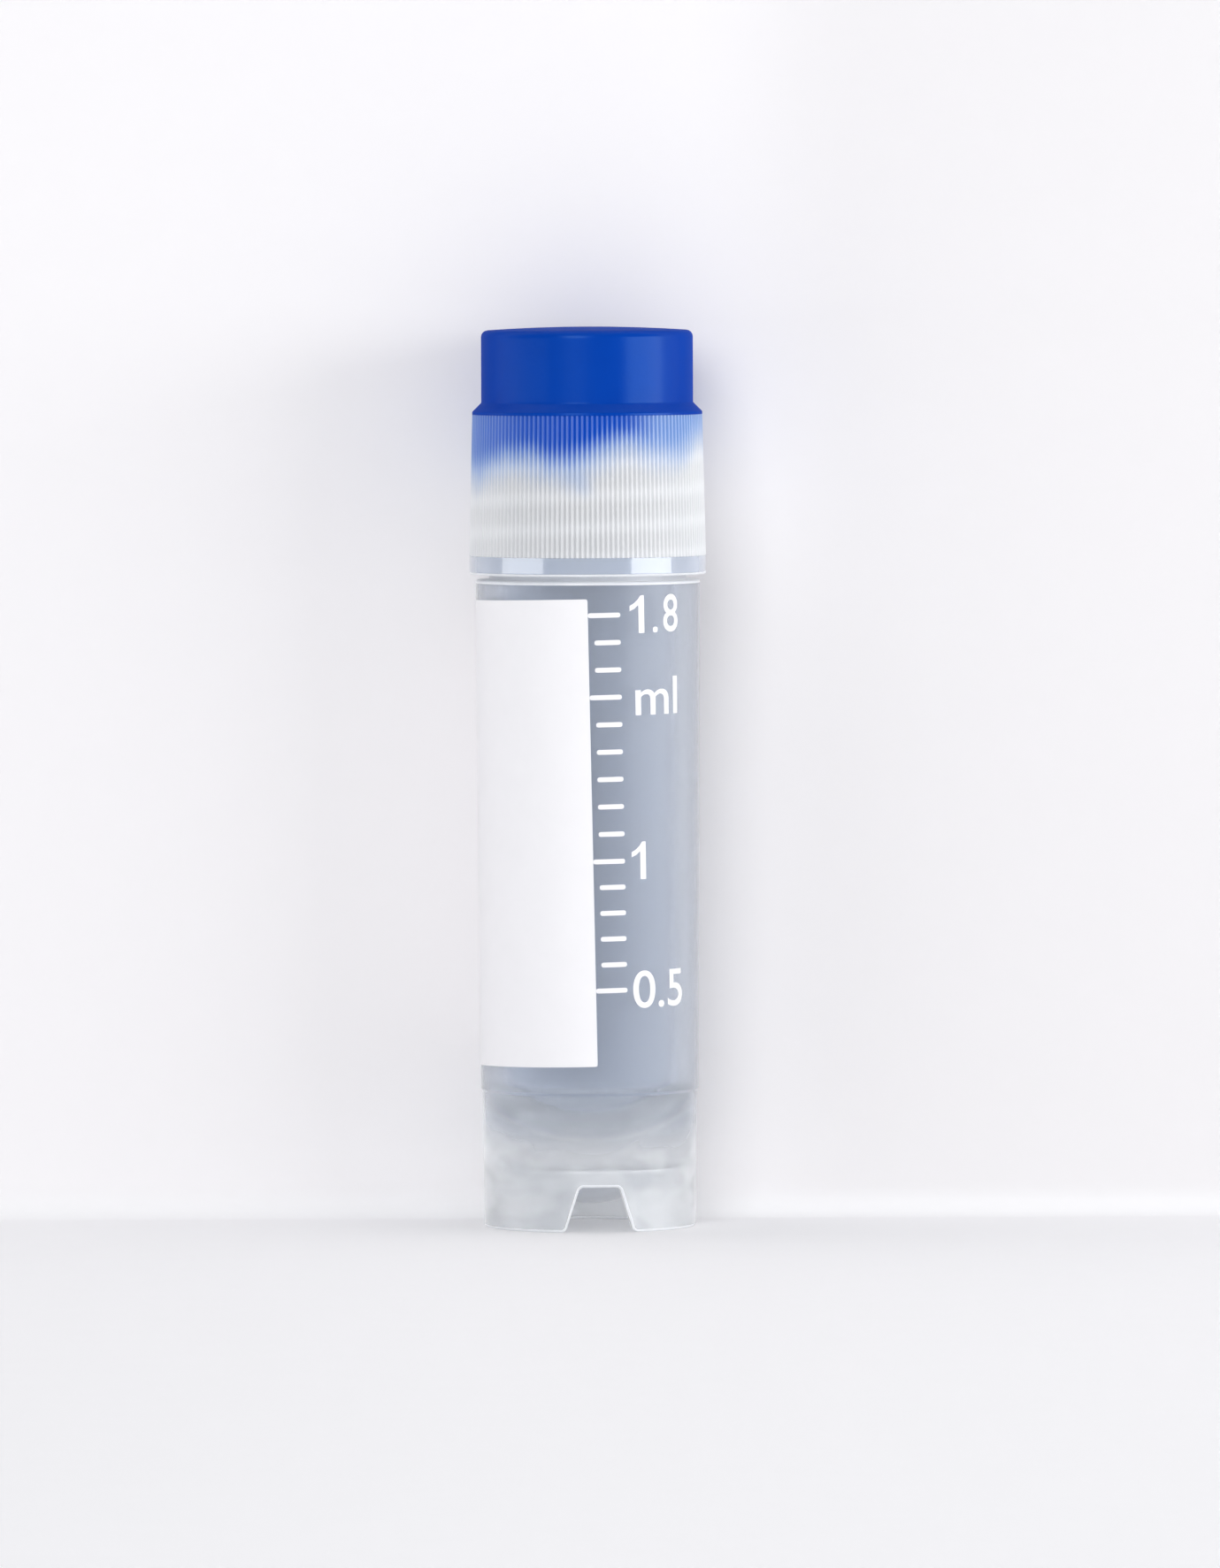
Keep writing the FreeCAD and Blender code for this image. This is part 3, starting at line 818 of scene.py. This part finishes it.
def tube_finish(look):
    """Frosted natural plastic, milkier where it is thick, with painted highlights in soft
    blotches there.
    """
    finish = Finish("natural plastic")
    flow = finish.noise(420, 3, (1, 1, 0.12))
    cloud = finish.noise(260, 3)
    highlight_blotches = finish.fade(finish.noise(300, 1, (1, 1, 2)), 0.35, 0.65)
    bump = finish.bump(finish.noise(9000, 2), 0.008 * MM, 0.3)
    level = finish.along("Z") + (cloud - 0.5) * (1.6 * MM)
    thick = 1 - finish.fade(level, 3.5 * MM, 6.3 * MM)
    # The thick foot is milkier, partly from its own cloudiness and partly from painted
    # highlights in soft blotches
    haze_and_highlights = thick * (0.17 + highlight_blotches * 0.2)
    tint = finish.mix(thick * 0.8 + cloud * 0.2, look.clear, look.milky)
    constants = {"Transmission Weight": look.clearness, "Specular Tint": (0.4, 0.4, 0.4, 1)}
    constants |= {"Sheen Weight": 0.65, "Sheen Roughness": 0.35}
    clear = finish.plastic(tint, look.frost + flow * 0.1, constants, bump)
    milky = finish.plastic(opaque(look.milky), 0.3, {"Transmission Weight": 0.2}, bump)
    return finish.surface(finish.lit_through(finish.blend(haze_and_highlights, clear, milky), 0.54))


def edge_highlight_finish(look, name):
    """The same plastic along rounded edges, painted white there as a highlight."""
    finish = Finish(name)
    cloud = finish.noise(900, 2)
    tint = finish.mix(cloud * 0.3, look.edge, look.clear)
    constants = {"Transmission Weight": 0.2, "Sheen Weight": 0.6, "Sheen Roughness": 0.35}
    plastic = finish.plastic(tint, 0.25 + cloud * 0.1, constants)
    return finish.surface(finish.lit_through(plastic, 0.5))


def skirt_finish(look, size, pitch):
    """Natural plastic with painted highlight on rib crests and shade in grooves, stained blue
    from above to a ragged line.
    """
    finish = Finish("skirt plastic")
    height = finish.along("Z")
    bearing = finish.bearing()
    front = bearing.maths("COSINE")
    right = finish.fade(bearing, 0.25, 0.8)
    cloud = finish.noise(420, 3)
    ragged = finish.noise(600, 4, (1, 1, 0.6)) - 0.5
    crest = (bearing * size.rib_count).wave() ** 3
    thread = (height * (math.tau / pitch) - bearing).wave() ** 2
    # Painted shade and highlights: grooves darker than crests, most so at the front, with
    # lighter diagonal bands along the inner thread, brightest on the crests
    pale = finish.mix(cloud * 0.2, look.skirt, look.clear)
    hollow = finish.shade(pale, 0.94 - front * 0.18 + thread * 0.08)
    natural = finish.mix(crest * (thread * 0.35 + 0.65), hollow, pale)
    # The stain's lower end is wavy, higher at the right, and has one run below it
    line = bearing.maths("SINE") * (0.7 * MM) + look.stain_height
    line = line + (bearing * 6 + 1.2).maths("COSINE") * (-0.35 * MM)
    spikes = crest * (-0.45 * MM) + 0.15 * MM
    above = height - line + ragged * (0.9 * MM) + spikes
    drip = 1 - finish.fade((bearing + 0.13).maths("ABSOLUTE"), 0.02, 0.26)
    run = drip * finish.fade(height + ragged * (2 * MM), 38.6 * MM, 40.6 * MM)
    wash = finish.fade(above, -2.1 * MM, 1.1 * MM).maths("MAXIMUM", run * 0.45)
    deep = finish.fade(above, -0.7 * MM, 1.2 * MM) * (front * 0.6 + 0.4) * (1 - right * 0.75)
    tint = finish.mix(wash, natural, look.stain_pale)
    tint = finish.mix(deep, tint, look.stain)
    # Painted highlight: the rib crests in the stain are lighter
    tint = finish.mix(crest * wash * (0.45 - deep * 0.3), tint, look.stain_crest_highlight)
    bump = finish.bump(finish.noise(7000, 2), 0.006 * MM, 0.4)
    constants = {"Specular IOR Level": 0.25, "Transmission Weight": 0.15}
    ribbed = finish.plastic(tint, 0.35 + cloud * 0.06, constants, bump)
    # The smooth band below the ribs is glossy
    tint = finish.mix(cloud * 0.5, look.band, look.clear)
    coat = {"Coat Weight": 0.85, "Coat Roughness": 0.06, "Coat IOR": 1.6}
    band = finish.plastic(tint, 0.08 + cloud * 0.06, {"Transmission Weight": 0.6, **coat})
    on_ribs = finish.fade(height, size.band_top - 0.01 * MM, size.band_top + 0.02 * MM)
    return finish.surface(finish.lit_through(finish.blend(on_ribs, band, ribbed), 0.5))


def top_finish(look):
    """Blue moulded plastic with a soft sheen and faint mould texture."""
    finish = Finish("blue plastic")
    cloud = finish.noise(350, 4)
    crown = finish.fade(finish.along("Z"), 47.7 * MM, 47.95 * MM)
    bump = finish.bump(finish.noise(6000, 3), 0.01 * MM, 0.5)
    tint = finish.mix(cloud, look.blue_deep, look.blue)
    roughness = 0.2 + cloud * 0.06 + crown * 0.5
    constants = {"Specular IOR Level": 0.24, "Specular Tint": opaque(look.blue_sheen)}
    glossy = finish.plastic(tint, roughness, constants, bump)
    constants = {"IOR": 1.5, "Specular IOR Level": 0.05}
    matt = finish.plastic(tint, 0.6 + cloud * 0.1, constants, bump)
    facing = finish.node("ShaderNodeLayerWeight", inputs={"Blend": 0.5}, output="Facing")
    return finish.surface(finish.blend(finish.fade(facing, 0.2, 0.6), glossy, matt))


def seal_finish(look):
    """Soft translucent silicone."""
    finish = Finish("silicone")
    cloud = finish.noise(900, 2)
    tint = finish.mix(cloud * 0.4, look.silicone, look.clear)
    constants = {"IOR": 1.41, "Transmission Weight": 0.3}
    return finish.surface(finish.plastic(tint, 0.35 + cloud * 0.15, constants))


def ink_finish(look):
    """Matt white ink, a little uneven as it comes off a screen."""
    finish = Finish("white ink")
    cloud = finish.noise(800, 4)
    tint = finish.mix(cloud * 0.5, look.ink, darker(look.ink, 0.93))
    bump = finish.bump(finish.noise(14000, 2), 0.004 * MM, 0.6)
    return finish.surface(finish.plastic(tint, 0.45 + cloud * 0.15, {"IOR": 1.5}, bump))


def stage_finish(studio):
    """Pale paper, which isn't there when it is seen from behind."""
    finish = Finish("pale paper")
    fibre = finish.noise(300, 3)
    floor = finish.mix(fibre, studio.floor, darker(studio.floor, 0.99))
    wall = finish.mix(fibre, studio.wall, darker(studio.wall, 0.99))
    up = finish.fade(finish.along("Z"), 0, studio.cove)
    # Painted shade: the backdrop darkens towards the right of the vial
    right = finish.fade(finish.along("X"), 4 * MM, 16 * MM)
    wall = finish.shade(wall, 1 - right * 0.08)
    paper = finish.node("ShaderNodeBsdfDiffuse", inputs={0: finish.mix(up, floor, wall)})
    behind = finish.node("ShaderNodeNewGeometry", output="Backfacing")
    clear = finish.node("ShaderNodeBsdfTransparent")
    return finish.surface(finish.blend(behind, paper, clear))


# Operators


class CRYOVIAL_OT_tube(bpy.types.Operator):
    """Model the tube: neck with its thread, body, round bottom and notched foot"""

    bl_idname = "cryovial.tube"
    bl_label = "Tube"

    def execute(self, context):
        size = context.scene.cryovial_tube
        threads = context.scene.cryovial_threads
        look = context.scene.cryovial_finishes
        finishes = (tube_finish(look), edge_highlight_finish(look, "plastic edge highlight"))
        strip = foot_strip(size, finishes)
        tube = join(tube_wall(size, finishes), [strip])
        reopen()
        weld()
        close(tube)
        root = size.neck_radius - threads.sink
        run = (threads.neck_crest, threads.neck_start, threads.neck_turns)
        unite(tube, thread_ridge(root, *run, threads, finishes))
        finish_piece(tube, "vial", "vial_tube")
        return {"FINISHED"}


class CRYOVIAL_OT_washer(bpy.types.Operator):
    """Model the silicone washer between the neck and the inlay"""

    bl_idname = "cryovial.washer"
    bl_label = "Washer"

    def execute(self, context):
        size = context.scene.cryovial_cap
        middle = (size.seal_inner + size.seal_outer) / 2
        washer = begin("seal-ring", [seal_finish(context.scene.cryovial_finishes)])
        outline = (
            (middle, size.seal_low),
            (size.seal_outer, size.seal_low, size.edge_round),
            (size.seal_outer, size.seal_high, size.edge_round),
            (size.seal_inner, size.seal_high, size.edge_round),
            (size.seal_inner, size.seal_low, size.edge_round),
        )
        draw(hold_edges(outline), closed=True)
        turn_round()
        weld()
        close(washer)
        finish_piece(washer, "seal", "seal_ring")
        return {"FINISHED"}


class CRYOVIAL_OT_skirt(bpy.types.Operator):
    """Model the ribbed skirt of the cap, with its thread inside"""

    bl_idname = "cryovial.skirt"
    bl_label = "Skirt"

    def execute(self, context):
        size = context.scene.cryovial_cap
        threads = context.scene.cryovial_threads
        look = context.scene.cryovial_finishes
        plastic = skirt_finish(look, size, threads.pitch)
        finishes = (plastic, edge_highlight_finish(look, "skirt edge highlight"))
        skirt = skirt_shell(size, finishes)
        root = size.inner_radius + threads.sink
        run = (threads.cap_crest, threads.cap_start, threads.cap_turns)
        unite(skirt, thread_ridge(root, *run, threads, finishes))
        finish_piece(skirt, "cap", "cap_skirt")
        return {"FINISHED"}


class CRYOVIAL_OT_top(bpy.types.Operator):
    """Model the blue top: head, sloped shoulder, inlay and hollow plug"""

    bl_idname = "cryovial.top"
    bl_label = "Blue top"

    def execute(self, context):
        size = context.scene.cryovial_cap
        top = begin("cap-top", [top_finish(context.scene.cryovial_finishes)])
        outline = (
            (0, size.roof_height),
            (size.hollow_radius_top, size.roof_height, 0.3 * MM),
            (size.hollow_radius, size.plug_low),
            (size.plug_radius - size.plug_lead, size.plug_low),
            (size.plug_radius, size.plug_low + size.plug_lead),
            (size.plug_radius, size.seal_high),
            (size.inner_radius, size.seal_high),
            (size.inner_radius, size.skirt_high),
            (size.top_radius, size.skirt_high),
            (size.top_radius, size.flange_top, size.slope_round),
            (size.head_radius, size.head_low, size.slope_round),
            (size.head_radius, size.head_edge, size.head_round),
            None,
            (0, size.head_high),
        )
        draw(hold_edges(outline))
        turn_round()
        weld()
        close(top)
        finish_piece(top, "cap", "cap_top")
        return {"FINISHED"}


def lay_on_tube(piece, scene):
    """Gives flat print its thickness, leans it, rolls it onto the body and finishes it."""
    tube = scene.cryovial_tube
    size = scene.cryovial_print
    low = tube.foot_height + tube.foot_step
    middle = (size.low + size.high) / 2
    slope = (tube.body_radius - tube.body_radius_low) / (tube.shoulder_height - low)
    radius = tube.body_radius_low + slope * (middle - low) + size.lift
    across = [point.co.x for point in piece.data.vertices]
    column = math.tau / COLUMNS * radius
    first = math.ceil(min(across) / column)
    last = math.floor(max(across) / column)
    reopen()
    rotate(-size.tilt, "Y", (0, 0, middle))
    slice_upright([index * column for index in range(first, last + 1)])
    pick_all()
    bpy.ops.mesh.extrude_region_move(TRANSFORM_OT_translate={"value": (0, -size.ink, 0)})
    pick_all()
    bpy.ops.mesh.normals_make_consistent(inside=False)
    rotate(math.atan(slope), "X", (0, 0, middle))
    close(piece)
    roll_up(piece, radius)
    piece.data.materials.append(ink_finish(scene.cryovial_finishes))
    finish_piece(piece, "vial")


def draw_block(left, right, low, high, rounding):
    """Draws a flat filled rectangle with rounded corners."""
    places = ((left, low), (right, low), (right, high), (left, high))
    draw([(*place, rounding) for place in places], closed=True)
    pick(lambda point: low - NEAR < point.co.z < high + NEAR)
    bpy.ops.mesh.edge_face_add()


class CRYOVIAL_OT_patch(bpy.types.Operator):
    """Print the white writing patch on the tube"""

    bl_idname = "cryovial.patch"
    bl_label = "Writing patch"

    def execute(self, context):
        size = context.scene.cryovial_print
        patch = begin("writing-patch")
        left = size.edge - size.width
        draw_block(left, size.edge, size.low, size.high, size.corner)
        close(patch)
        lay_on_tube(patch, context.scene)
        return {"FINISHED"}


def mark_heights(size):
    """Heights of the marks, from the 1.8 mark down to the 1 mark and to the 0.5 mark."""
    upper = [size.highest - step_between(size) * step for step in range(UPPER_STEPS)]
    drop = (size.middle - size.lowest) / LOWER_STEPS
    return upper + [size.middle - drop * step for step in range(LOWER_STEPS + 1)]


def step_between(size):
    """Height between two marks over the 1 mark."""
    return (size.highest - size.middle) / UPPER_STEPS


class CRYOVIAL_OT_marks(bpy.types.Operator):
    """Print the marks of the volume scale"""

    bl_idname = "cryovial.marks"
    bl_label = "Scale marks"

    def execute(self, context):
        size = context.scene.cryovial_print
        half = size.mark_height / 2
        end = size.edge + size.mark_end
        marks = begin("scale-marks")
        for index, height in enumerate(mark_heights(size)):
            start = size.edge + (0 if index in LONG_MARKS else size.short_start)
            draw_block(start, end, height - half, height + half, half * 0.9)
        close(marks)
        lay_on_tube(marks, context.scene)
        return {"FINISHED"}


class CRYOVIAL_OT_numerals(bpy.types.Operator):
    """Print the plain numbers and the unit beside the scale"""

    bl_idname = "cryovial.numerals"
    bl_label = "Scale numerals"

    def execute(self, context):
        size = context.scene.cryovial_print
        third = size.highest - 3 * step_between(size)
        pieces = [
            write("8", 4.31, 1.1, size.highest, size),
            write("ml", 2.48, 2.82, third, size),
            write("0.5", 2.05, 3.46, size.lowest, size),
            write_one(2.24, size.highest, size),
            write_one(2.1, size.middle, size),
            write_point(3.61, size.highest, size),
        ]
        numerals = join(pieces[0], pieces[1:])
        numerals.name = "scale-numerals"
        lay_on_tube(numerals, context.scene)
        return {"FINISHED"}


def write(word, start, width, middle, size):
    """A flat word, with its start from the patch and its width in millimetres."""
    bpy.ops.object.select_all(action="DESELECT")
    bpy.ops.object.text_add(location=(0, 0, 0), rotation=(math.pi / 2, 0, 0))
    letters = bpy.context.object
    letters.data.body = word
    letters.data.offset = STROKE
    bpy.ops.object.convert(target="MESH")
    bpy.ops.object.transform_apply(location=False, rotation=True, scale=False)
    across = [point.co.x for point in letters.data.vertices]
    heights = [point.co.z for point in letters.data.vertices]
    wider = width * MM / (max(across) - min(across))
    taller = size.numeral_height / (max(heights) - min(heights))
    corner = (min(across), 0, (min(heights) + max(heights)) / 2)
    move = (size.edge + start * MM - corner[0], 0, middle - corner[2])
    reopen()
    bpy.ops.transform.resize(value=(wider, 1, taller), center_override=corner)
    bpy.ops.transform.translate(value=move)
    bpy.ops.mesh.remove_doubles(threshold=WELD)
    return close(letters)


def write_one(start, middle, size):
    """The numeral 1, with its flag, and its start from the patch in millimetres."""
    left = size.edge + start * MM
    low = middle - size.numeral_height / 2
    one = begin("one")
    draw([(left + across * MM, low + height * MM) for across, height in ONE], closed=True)
    bpy.ops.mesh.edge_face_add()
    return close(one)


def write_point(start, middle, size):
    """A round decimal point, with its start from the patch in millimetres."""
    left = size.edge + start * MM
    low = middle - size.numeral_height / 2
    wide = 0.31 * MM
    point = begin("point")
    draw_block(left, left + wide, low, low + wide, wide * 0.4)
    return close(point)


class CRYOVIAL_OT_stage(bpy.types.Operator):
    """Set up the floor, the backdrop, the soft lights, the surroundings and the camera"""

    bl_idname = "cryovial.stage"
    bl_label = "Stage"

    def execute(self, context):
        studio = context.scene.cryovial_studio
        paper_sheets(studio)
        lights(studio)
        surroundings(context.scene, studio)
        camera(context.scene, studio)
        context.scene.view_settings.view_transform = "Standard"
        return {"FINISHED"}


def paper_sheets(studio):
    """Paper under the vial and up close behind it, and a floor behind that."""
    half = 0.5
    lower = 0.01 * MM
    gap = studio.wall_gap

    def is_back(edge):
        return all(abs(point.co.y - gap) < NEAR and point.co.z < NEAR for point in edge.verts)

    front = begin("floor-and-backdrop")
    bpy.ops.mesh.primitive_plane_add(size=2 * half, location=(0, gap - half, 0))
    pick(is_back, "EDGE")
    bpy.ops.mesh.extrude_region_move(TRANSFORM_OT_translate={"value": (0, 0, half)})
    pick(is_back, "EDGE")
    bpy.ops.mesh.bevel(offset=studio.cove, segments=12, affect="EDGES")
    bpy.ops.mesh.select_all(action="SELECT")
    bpy.ops.mesh.faces_shade_smooth()
    close(front)
    behind = begin("floor-behind")
    bpy.ops.mesh.primitive_plane_add(size=2 * half, location=(0, gap + half, -lower))
    close(behind)
    finish = stage_finish(studio)
    for sheet in (front, behind):
        sheet.data.materials.append(finish)


def way_to(bearing, elevation):
    """The way from the vial's axis to this bearing from the front and this height."""
    flat = math.cos(elevation)
    return Vector((math.sin(bearing) * flat, -math.cos(bearing) * flat, math.sin(elevation)))


def soft_light(name, bearing, elevation, distance, size, power):
    """A rectangular light that faces the vial's middle."""
    away = way_to(math.radians(bearing), math.radians(elevation))
    middle = Vector((0, 0, 24 * MM))
    bpy.ops.object.light_add(type="AREA", location=middle + away * distance)
    light = bpy.context.object
    light.name = name
    light.rotation_euler = away.to_track_quat("Z", "Y").to_euler()
    light.data.shape = "RECTANGLE"
    light.data.size, light.data.size_y = size
    light.data.energy = power


def lights(studio):
    """Each has a bearing and an elevation in degrees, and a distance and a size in metres."""
    soft_light("key light", -13, 22, 0.7, (0.28, 0.4), studio.key)
    soft_light("left light", -69, 0, 0.35, (0.33, 0.022), studio.left)
    soft_light("right light", 66, 8.9, 0.35, (0.3, 0.12), studio.right)
    soft_light("top light", 0, 80, 0.5, (0.4, 0.4), studio.top)


def surroundings(scene, studio):
    """A dim room for the light, and the pale paper's colour for the camera."""
    finish = Finish("studio", "worlds")
    inputs = {"Color": (0.93, 0.96, 1, 1), "Strength": studio.ambient}
    room = finish.node("ShaderNodeBackground", inputs=inputs)
    paper = finish.node("ShaderNodeBackground", inputs={"Color": opaque(studio.pale)})
    seen = finish.node("ShaderNodeLightPath", output="Is Camera Ray")
    finish.node("ShaderNodeOutputWorld", inputs={"Surface": finish.blend(seen, room, paper)})
    scene.world = finish.block


def camera(scene, studio):
    aim = Vector((studio.aside, 0, studio.aim))
    away = way_to(0, studio.elevation)
    bpy.ops.object.camera_add(location=aim + away * studio.distance)
    view = bpy.context.object
    view.rotation_euler = away.to_track_quat("Z", "Y").to_matrix().to_euler()
    view.rotation_euler.rotate_axis("Z", studio.roll)
    view.data.lens = studio.lens
    view.data.clip_start = 0.01
    scene.camera = view


class CRYOVIAL_PT_panel(bpy.types.Panel):
    """Lists the pieces and their settings"""

    bl_label = "Cryovial"
    bl_idname = "CRYOVIAL_PT_panel"
    bl_space_type = "VIEW_3D"
    bl_region_type = "UI"
    bl_category = "Cryovial"

    def draw(self, context):
        for operator in OPERATORS:
            self.layout.operator(operator.bl_idname)
        for name, group in GROUPS.items():
            box = self.layout.box()
            box.label(text=name.removeprefix("cryovial_").capitalize())
            for setting in group.__annotations__:
                box.prop(getattr(context.scene, name), setting)


GROUPS = {
    "cryovial_tube": TubeSizes,
    "cryovial_threads": ThreadSizes,
    "cryovial_cap": CapSizes,
    "cryovial_print": PrintSizes,
    "cryovial_finishes": Finishes,
    "cryovial_studio": StudioSettings,
}
OPERATORS = (
    CRYOVIAL_OT_tube,
    CRYOVIAL_OT_washer,
    CRYOVIAL_OT_skirt,
    CRYOVIAL_OT_top,
    CRYOVIAL_OT_patch,
    CRYOVIAL_OT_marks,
    CRYOVIAL_OT_numerals,
    CRYOVIAL_OT_stage,
)


def register():
    for group in GROUPS.values():
        bpy.utils.register_class(group)
    for name, group in GROUPS.items():
        setattr(bpy.types.Scene, name, bpy.props.PointerProperty(type=group))
    for operator in OPERATORS:
        bpy.utils.register_class(operator)
    bpy.utils.register_class(CRYOVIAL_PT_panel)


def unregister():
    bpy.utils.unregister_class(CRYOVIAL_PT_panel)
    for operator in reversed(OPERATORS):
        bpy.utils.unregister_class(operator)
    for name, group in GROUPS.items():
        delattr(bpy.types.Scene, name)
        bpy.utils.unregister_class(group)


def main():
    register()
    bpy.ops.cryovial.tube()
    bpy.ops.cryovial.washer()
    bpy.ops.cryovial.skirt()
    bpy.ops.cryovial.top()
    bpy.ops.cryovial.patch()
    bpy.ops.cryovial.marks()
    bpy.ops.cryovial.numerals()
    bpy.ops.cryovial.stage()


if __name__ == "__main__":
    main()
